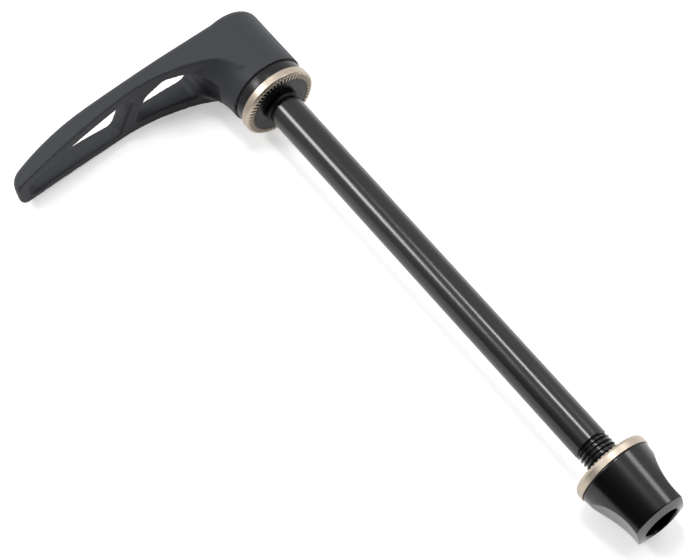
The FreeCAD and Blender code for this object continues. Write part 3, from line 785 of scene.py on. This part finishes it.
class SKEWER_OT_nut(SkewerOperator, bpy.types.Operator):
    """Build the tapered nut with its two finger scallops"""

    bl_idname = "skewer.nut"
    bl_label = "Nut"

    def execute(self, context):
        sizes = self.sizes
        material = turned_finish("satin_black_nut", self.finishes.nut_black, roughness=0.2,
                                 line=0.00018, strength=0.055, ior=1.47)
        low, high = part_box("nut")
        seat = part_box("nut_side_ring")[1].x
        base, spigot = (high.z - low.z) / 2, sizes.ring_bore / 2
        bore, mouth = sizes.thread_diameter / 2 + THREAD_ROOM, sizes.nut_mouth_diameter / 2
        rim = high.x - sizes.nut_dome_height
        outline = rounded([
            (low.x, bore), (low.x, spigot), (seat, spigot), (seat, base),
            (rim, sizes.nut_end_diameter / 2), (high.x, mouth + sizes.nut_mouth_break),
            (high.x - sizes.nut_mouth_break, mouth), (high.x - sizes.nut_mouth_depth, mouth),
            (high.x - sizes.nut_mouth_depth, bore),
        ], 2 * sizes.edge_round)
        # Points close enough together for the scallops to press in evenly
        spacing, softness = 0.25 * MM, 0.3 * MM
        form = bmesh.new()
        turned(form, divided(outline + outline[:1], spacing)[:-1], NUT_FACETS)
        piece = grown("nut_body", scallop_tree(), mesh_from(form), material, Radius=sizes.scallop_radius,
                      Floor=sizes.scallop_floor, Centre=high.x - sizes.scallop_from_end,
                      Turn=sizes.nut_turn, Softness=softness)
        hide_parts("nut")
        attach(piece, "nut")
        return {"FINISHED"}


class SKEWER_OT_inner_parts(SkewerOperator, bpy.types.Operator):
    """Finish the steel parts inside the lever's head"""

    bl_idname = "skewer.inner_parts"
    bl_label = "Inner parts"

    def execute(self, context):
        steel = turned_finish("plain_steel", self.finishes.steel, roughness=0.34,
                              line=0.0002, strength=0.06, metallic=1.0)
        for node in ("spline_insert", "thrust_washer", "spring_washer_plate", "retaining_screw"):
            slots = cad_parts[node].data.materials
            slots.clear()
            slots.append(steel)
        coil = piece_from("return_spring_coil", mesh_from(copy_of("return_spring")), steel)
        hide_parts("return_spring")
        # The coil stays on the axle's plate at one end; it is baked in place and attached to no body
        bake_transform(coil)
        return {"FINISHED"}


class SKEWER_OT_stage(SkewerOperator, bpy.types.Operator):
    """Set the floor, the lights and the camera"""

    bl_idname = "skewer.stage"
    bl_label = "Studio"

    def lay_floor(self):
        """A pale floor under the part: white where it is seen, and it keeps the shadow."""
        material, tree, shader = new_finish("studio_floor", self.finishes.floor, roughness=0.9)
        clouds = grain(tree, (3.0, 3.0, 3.0))
        tree.links.new(tint(tree, clouds, self.finishes.floor, 0.995, 1.0), shader.inputs["Base Color"])
        seen = add_node(tree, "ShaderNodeLightPath").outputs
        either = math_node(tree, "MAXIMUM", seen["Is Camera Ray"], seen["Is Glossy Ray"])
        either = math_node(tree, "MAXIMUM", either, seen["Is Transmission Ray"])
        glow = math_node(tree, "MULTIPLY", either, FLOOR_GLOW)
        tree.links.new(glow, shader.inputs["Emission Strength"])
        shader.inputs["Emission Color"].default_value = (1, 1, 1, 1)
        form = bmesh.new()
        bmesh.ops.create_grid(form, x_segments=8, y_segments=8, size=FLOOR_SIZE,
                              matrix=Matrix.Translation((0, 0, CAD_BOX[0][2])))
        mesh = plain_mesh("studio_floor", form)
        mesh.materials.append(material)
        floor = bpy.data.objects.new("studio_floor", mesh)
        bpy.context.scene.collection.objects.link(floor)

    def hang_light(self, name, place, target, size, watts):
        """One rectangular light at a place, turned to its target."""
        light = bpy.data.lights.new(name, "AREA")
        light.shape = "RECTANGLE"
        light.size, light.size_y = size
        light.energy = watts
        lamp = bpy.data.objects.new(name, light)
        lamp.location = place
        lamp.rotation_euler = (Vector(target) - Vector(place)).to_track_quat("-Z", "Y").to_euler()
        bpy.context.scene.collection.objects.link(lamp)

    def set_surround(self):
        """A surround that is bright on the lever's side and dark beyond the nut."""
        world = bpy.data.worlds.new("studio")
        world.use_nodes = True
        tree = world.node_tree
        sky = tree.nodes["Background"]
        sky.inputs["Color"].default_value = (1, 1, 1, 1)
        way = add_node(tree, "ShaderNodeTexCoord").outputs["Generated"]
        side = add_node(tree, "ShaderNodeVectorMath", {0: way, 1: SURROUND_BRIGHT_SIDE},
                        operation="DOT_PRODUCT")
        fade = add_node(tree, "ShaderNodeMapRange", {
            "Value": side.outputs["Value"],
            "From Min": SURROUND_FADE[0], "From Max": SURROUND_FADE[1],
            "To Min": SURROUND_STRENGTH[0], "To Max": SURROUND_STRENGTH[1]},
            interpolation_type="SMOOTHSTEP")
        tree.links.new(fade.outputs[0], sky.inputs["Strength"])
        bpy.context.scene.world = world

    def set_camera(self):
        """The camera that sees the part as the photograph does."""
        camera = bpy.data.cameras.new("photo_view")
        camera.lens = CAMERA_LENS
        camera.sensor_width = CAMERA_SENSOR
        camera.sensor_fit = "HORIZONTAL"
        camera.clip_start, camera.clip_end = CAMERA_CLIP
        holder = bpy.data.objects.new("photo_view", camera)
        right, up = Vector(CAMERA_RIGHT).normalized(), Vector(CAMERA_UP)
        back = right.cross(up).normalized()
        up = back.cross(right)
        turn = Matrix((right, up, back)).transposed().to_4x4()
        holder.matrix_world = Matrix.Translation(CAMERA_EYE) @ turn
        bpy.context.scene.collection.objects.link(holder)
        bpy.context.scene.camera = holder

    def execute(self, context):
        self.lay_floor()
        for strip in STRIPS:
            self.hang_light(*strip)
        self.set_surround()
        context.scene.view_settings.view_transform = "Standard"
        self.set_camera()
        return {"FINISHED"}


# Panel and registration

class SKEWER_PT_panel(bpy.types.Panel):
    """Builders and settings of the skewer"""

    bl_idname = "SKEWER_PT_panel"
    bl_label = "Threaded wheel skewer"
    bl_space_type = "VIEW_3D"
    bl_region_type = "UI"
    bl_category = "Skewer"

    def draw(self, context):
        """A button for each builder, then every setting."""
        for builder in BUILDERS:
            self.layout.operator(builder.bl_idname)
        for settings in (context.scene.skewer_sizes, context.scene.skewer_finishes):
            box = self.layout.box()
            for name in settings.bl_rna.properties.keys():
                if name not in {"rna_type", "name"}:
                    box.prop(settings, name)


BUILDERS = (
    SKEWER_OT_lever, SKEWER_OT_axle, SKEWER_OT_collar, SKEWER_OT_rings, SKEWER_OT_nut,
    SKEWER_OT_inner_parts, SKEWER_OT_stage,
)
CLASSES = (SkewerSizes, SkewerFinishes, *BUILDERS, SKEWER_PT_panel)


def register():
    """Add the settings, builders and panel to Blender."""
    for kind in CLASSES:
        bpy.utils.register_class(kind)
    bpy.types.Scene.skewer_sizes = PointerProperty(type=SkewerSizes)
    bpy.types.Scene.skewer_finishes = PointerProperty(type=SkewerFinishes)


def unregister():
    """Take them out again."""
    del bpy.types.Scene.skewer_finishes
    del bpy.types.Scene.skewer_sizes
    for kind in reversed(CLASSES):
        bpy.utils.unregister_class(kind)


def main():
    """Build every piece in order."""
    register()
    bpy.ops.skewer.lever()
    bpy.ops.skewer.axle()
    bpy.ops.skewer.collar()
    bpy.ops.skewer.rings()
    bpy.ops.skewer.nut()
    bpy.ops.skewer.inner_parts()
    bpy.ops.skewer.stage()


if __name__ == "__main__":
    main()
